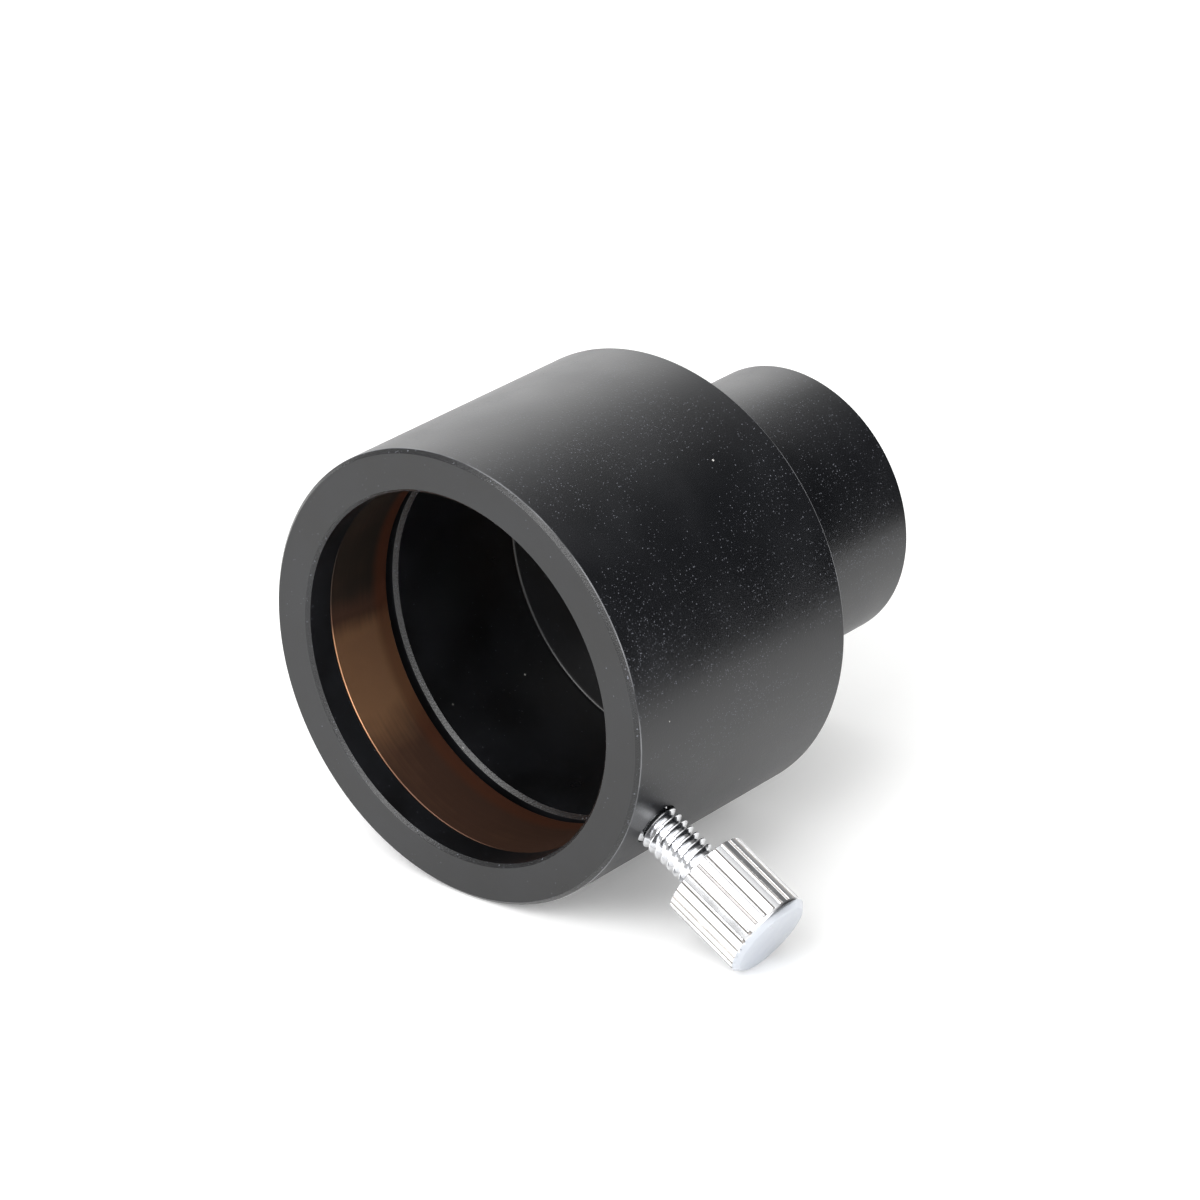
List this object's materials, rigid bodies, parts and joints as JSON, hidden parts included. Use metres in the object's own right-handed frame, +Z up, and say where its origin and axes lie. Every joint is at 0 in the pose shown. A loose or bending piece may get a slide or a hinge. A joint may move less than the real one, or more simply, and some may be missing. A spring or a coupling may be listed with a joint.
{
  "type": "barlow lens",
  "caption": "Short black telescope Barlow lens: a socket with a brass clamping band and a knurled thumbscrew at one end, and a narrower nose with a negative lens pair in a cell at the other.",
  "frame": {"origin": "centre of the eyepiece socket's mouth, on the optical axis", "axes": "+Y along the optical axis from the mouth to the nose, +Z up with the piece lying on its holder and on the rim of the thumbscrew's head, +X towards the thumbscrew, which points 30 degrees below +X"},
  "size_m": [0.0499, 0.0442, 0.0393],
  "materials": {
    "anodised_aluminium": "satin black anodised, bead blasted",
    "blackened_aluminium": "matte black anodised",
    "tarnished_brass": "rolled band, tarnished brown",
    "turned_brass": "turned, plain",
    "chrome_plate": "bright plated, knurled",
    "crown_glass": "polished, coated",
    "flint_glass": "polished, coated"
  },
  "bodies": {
    "barrel": {"eyepiece_holder": "anodised_aluminium", "nosepiece": "anodised_aluminium", "lens_cell": "blackened_aluminium", "crown_lens": "crown_glass", "lens_spacer": "turned_brass", "flint_lens": "flint_glass", "lens_retaining_ring": "blackened_aluminium"},
    "screw_advance": {"screw_tip": "turned_brass"},
    "screw": {"thumbscrew": "chrome_plate"},
    "clamp_band": {"compression_ring": "tarnished_brass"}
  },
  "joints": [
    {"name": "thumbscrew_advance", "type": "slide", "parent": "barrel", "child": "screw_advance", "axis": [-0.8656, 0, 0.5007], "range_m": [-0.0007, 0.0007]},
    {"name": "thumbscrew_turn", "type": "hinge", "parent": "screw_advance", "child": "screw", "pos_m": [0.02164, 0.00475, -0.01252], "axis": [-0.8656, 0, 0.5007], "range_deg": [-360, 360]},
    {"name": "band_close", "type": "slide", "parent": "barrel", "child": "clamp_band", "axis": [-0.8656, 0, 0.5007], "range_m": [-0.00035, 0.00035]}
  ],
  "couplings": [
    {"joint": "thumbscrew_turn", "follows": "thumbscrew_advance", "rad_per_m": 8976},
    {"joint": "band_close", "follows": "thumbscrew_advance", "ratio": 0.5}
  ]
}
